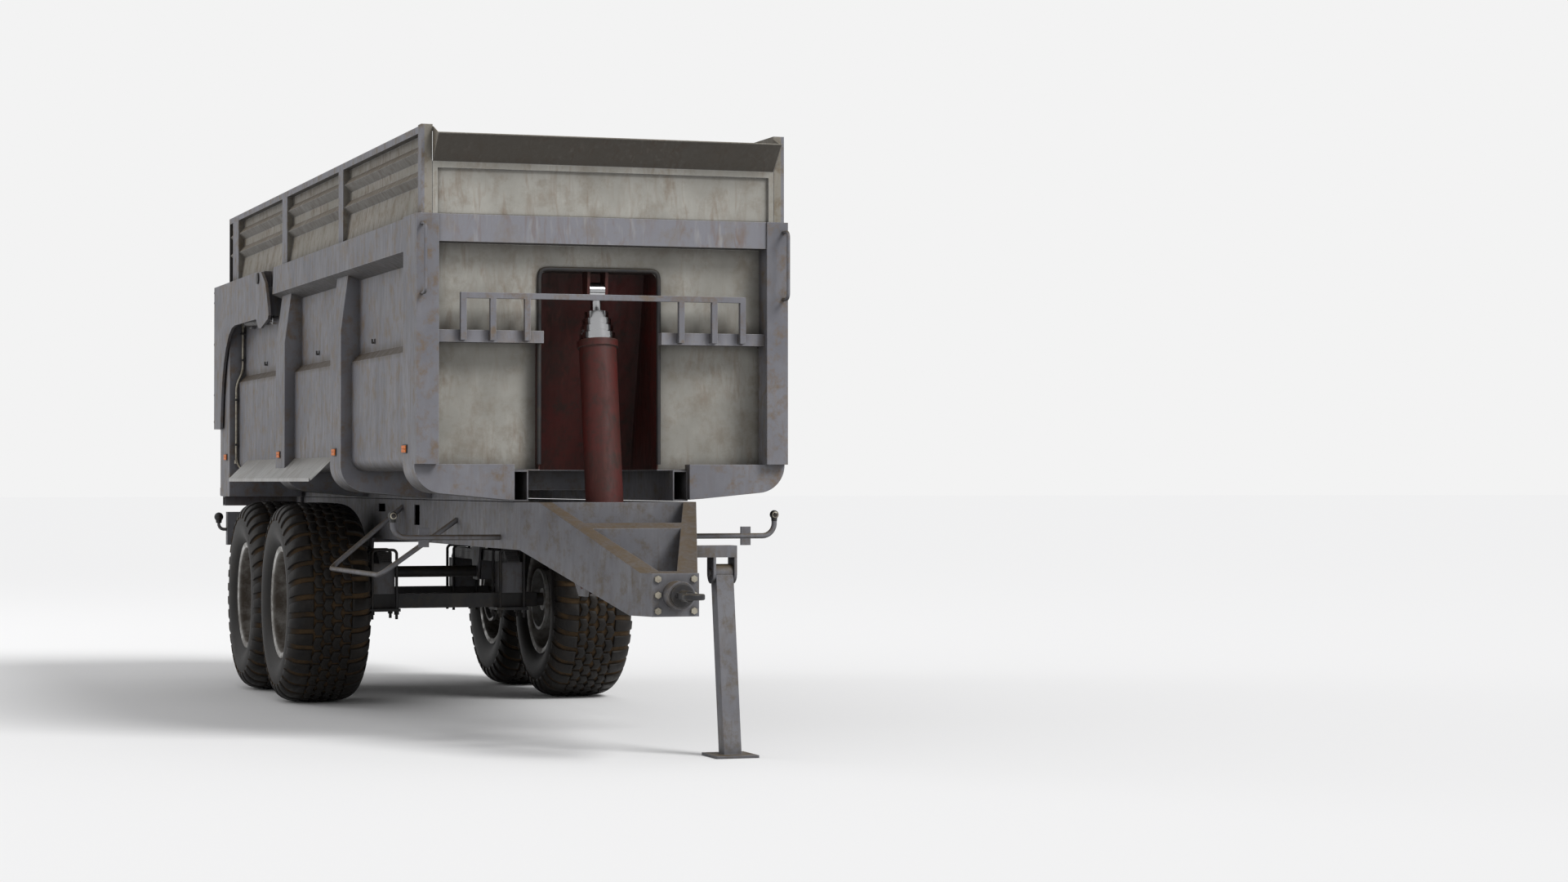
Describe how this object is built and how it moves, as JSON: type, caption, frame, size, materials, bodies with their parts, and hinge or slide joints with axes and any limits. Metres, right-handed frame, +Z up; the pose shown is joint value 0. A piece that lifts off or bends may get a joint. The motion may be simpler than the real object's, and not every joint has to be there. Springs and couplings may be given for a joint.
{
  "type": "grain trailer",
  "caption": "Tipping monocoque grain trailer on a rocking tandem bogie, with silage extension, hydraulic tailgate with grain chute, telescopic ram and fold-up parking leg.",
  "frame": {"origin": "on the ground below the middle of the vehicle's length and width", "axes": "+X forwards to the towing eye, +Y to the vehicle's left, +Z up"},
  "size_m": [8.953, 2.4, 3.51],
  "materials": {
    "body_paint": "lilac grey trailer enamel, weathered",
    "wall_paint": "pale dirty enamel",
    "chassis_paint": "grey enamel, dusty",
    "dark_steel": "black enamel",
    "worn_steel": "worn bare sheet",
    "wheel_steel": "silver wheel paint with dried mud",
    "hub_steel": "painted cast iron",
    "tyre_rubber": "carcass rubber with soil",
    "ram_paint": "dark red enamel",
    "ram_chrome": "hard chrome",
    "red_lens": "lens plastic",
    "amber_lens": "lens plastic",
    "lamp_rubber": "moulded rubber",
    "zinc_bolts": "zinc plated"
  },
  "bodies": {
    "chassis": {"chassis_rails": "chassis_paint", "crossmembers": "chassis_paint", "drawbar": "chassis_paint", "drawbar_head": "chassis_paint", "drawbar_bolts": "zinc_bolts", "ram_cradle": "chassis_paint", "lamp_beam": "chassis_paint", "tail_lamps": "red_lens", "marker_arms": "chassis_paint", "marker_lamps": "lamp_rubber", "side_guards": "chassis_paint", "bogie_pedestals": "chassis_paint"},
    "tow_eye": {"towing_eye": "dark_steel"},
    "stand_leg": {"parking_leg": "chassis_paint"},
    "ram_tube": {"ram_barrel": "ram_paint"},
    "ram_1": {"ram_stage_1": "ram_chrome"},
    "ram_2": {"ram_stage_2": "ram_chrome"},
    "ram_3": {"ram_stage_3": "ram_chrome"},
    "ram_4": {"ram_stage_4": "ram_chrome"},
    "bogie": {"bogie_shaft": "dark_steel", "leaf_packs": "dark_steel", "spring_saddles": "chassis_paint", "u_bolts": "dark_steel", "axles": "dark_steel"},
    "tipper": {"body_shell": "body_paint", "side_belts": "body_paint", "body_ribs": "body_paint", "body_posts": "body_paint", "body_runners": "chassis_paint", "front_wall": "wall_paint", "ram_well": "ram_paint", "extension_sides": "body_paint", "extension_front": "wall_paint", "extension_rear": "dark_steel", "ladder_guard": "body_paint", "grab_rails": "body_paint", "mudguards": "worn_steel", "side_markers": "amber_lens", "hinge_lugs": "body_paint", "hinge_pins": "zinc_bolts"},
    "tailgate": {"tailgate_panel": "body_paint", "tailgate_arms": "body_paint", "chute_frame": "body_paint"},
    "chute_door": {"chute_slide": "worn_steel"},
    "gate_ram_tube_right": {"door_ram_barrel_right": "dark_steel"},
    "gate_ram_rod_right": {"door_ram_rod_right": "ram_chrome"},
    "gate_ram_tube_left": {"door_ram_barrel_left": "dark_steel"},
    "gate_ram_rod_left": {"door_ram_rod_left": "ram_chrome"},
    "wheel_front_right": {"tyre_front_right": "tyre_rubber", "rim_front_right": "wheel_steel", "hub_front_right": "hub_steel"},
    "wheel_front_left": {"tyre_front_left": "tyre_rubber", "rim_front_left": "wheel_steel", "hub_front_left": "hub_steel"},
    "wheel_rear_right": {"tyre_rear_right": "tyre_rubber", "rim_rear_right": "wheel_steel", "hub_rear_right": "hub_steel"},
    "wheel_rear_left": {"tyre_rear_left": "tyre_rubber", "rim_rear_left": "wheel_steel", "hub_rear_left": "hub_steel"}
  },
  "joints": [
    {"name": "tow_eye_swivel", "type": "hinge", "parent": "chassis", "child": "tow_eye", "pos_m": [4.4165, 0, 0.9], "axis": [1, 0, 0], "continuous": true},
    {"name": "leg_fold", "type": "hinge", "parent": "chassis", "child": "stand_leg", "pos_m": [3.5415, 0.435, 1], "axis": [0, 1, 0], "range_deg": [0, 80]},
    {"name": "body_tip", "type": "hinge", "parent": "chassis", "child": "tipper", "pos_m": [-4.0585, 0, 1.25], "axis": [0, -1, 0], "range_deg": [0, 45]},
    {"name": "ram_lean", "type": "hinge", "parent": "chassis", "child": "ram_tube", "pos_m": [2.7715, 0, 0.93], "axis": [0, -1, 0], "range_deg": [0, 18.58]},
    {"name": "ram_slide_1", "type": "slide", "parent": "ram_tube", "child": "ram_1", "axis": [-0.1654, 0, 0.9862], "range_m": [0, 1.25054]},
    {"name": "ram_slide_2", "type": "slide", "parent": "ram_1", "child": "ram_2", "axis": [-0.1654, 0, 0.9862], "range_m": [0, 1.25054]},
    {"name": "ram_slide_3", "type": "slide", "parent": "ram_2", "child": "ram_3", "axis": [-0.1654, 0, 0.9862], "range_m": [0, 1.25054]},
    {"name": "ram_slide_4", "type": "slide", "parent": "ram_3", "child": "ram_4", "axis": [-0.1654, 0, 0.9862], "range_m": [0, 1.25054]},
    {"name": "tailgate_open", "type": "hinge", "parent": "tipper", "child": "tailgate", "pos_m": [-2.4285, 0, 2.95], "axis": [0, 1, 0], "range_deg": [0, 80]},
    {"name": "chute_lift", "type": "slide", "parent": "tailgate", "child": "chute_door", "axis": [0, 0, 1], "range_m": [0, 0.4]},
    {"name": "gate_ram_swing_right", "type": "hinge", "parent": "tipper", "child": "gate_ram_tube_right", "pos_m": [-3.4285, -1.044, 2.69], "axis": [0, -1, 0], "range_deg": [0, 2.93]},
    {"name": "gate_ram_slide_right", "type": "slide", "parent": "gate_ram_tube_right", "child": "gate_ram_rod_right", "axis": [-0.9993, 0, 0.0375], "range_m": [0, 0.46651]},
    {"name": "gate_ram_swing_left", "type": "hinge", "parent": "tipper", "child": "gate_ram_tube_left", "pos_m": [-3.4285, 1.044, 2.69], "axis": [0, -1, 0], "range_deg": [0, 2.93]},
    {"name": "gate_ram_slide_left", "type": "slide", "parent": "gate_ram_tube_left", "child": "gate_ram_rod_left", "axis": [-0.9993, 0, 0.0375], "range_m": [0, 0.46651]},
    {"name": "bogie_rock", "type": "hinge", "parent": "chassis", "child": "bogie", "pos_m": [-2.1185, 0, 0.86], "axis": [0, 1, 0], "range_deg": [-3, 3]},
    {"name": "spin_front_right", "type": "hinge", "parent": "bogie", "child": "wheel_front_right", "pos_m": [-1.3985, -0.91, 0.68], "axis": [0, 1, 0], "continuous": true},
    {"name": "spin_front_left", "type": "hinge", "parent": "bogie", "child": "wheel_front_left", "pos_m": [-1.3985, 0.91, 0.68], "axis": [0, 1, 0], "continuous": true},
    {"name": "spin_rear_right", "type": "hinge", "parent": "bogie", "child": "wheel_rear_right", "pos_m": [-2.8385, -0.91, 0.68], "axis": [0, 1, 0], "continuous": true},
    {"name": "spin_rear_left", "type": "hinge", "parent": "bogie", "child": "wheel_rear_left", "pos_m": [-2.8385, 0.91, 0.68], "axis": [0, 1, 0], "continuous": true}
  ],
  "couplings": [
    {"joint": "ram_lean", "follows": "body_tip", "ratio": 0.41284},
    {"joint": "ram_slide_1", "follows": "body_tip", "m_per_rad": 1.5921},
    {"joint": "ram_slide_2", "follows": "body_tip", "m_per_rad": 1.5921},
    {"joint": "ram_slide_3", "follows": "body_tip", "m_per_rad": 1.5921},
    {"joint": "ram_slide_4", "follows": "body_tip", "m_per_rad": 1.5921},
    {"joint": "gate_ram_swing_right", "follows": "tailgate_open", "ratio": 0.036671},
    {"joint": "gate_ram_slide_right", "follows": "tailgate_open", "m_per_rad": 0.33404},
    {"joint": "gate_ram_swing_left", "follows": "tailgate_open", "ratio": 0.036671},
    {"joint": "gate_ram_slide_left", "follows": "tailgate_open", "m_per_rad": 0.33404}
  ]
}
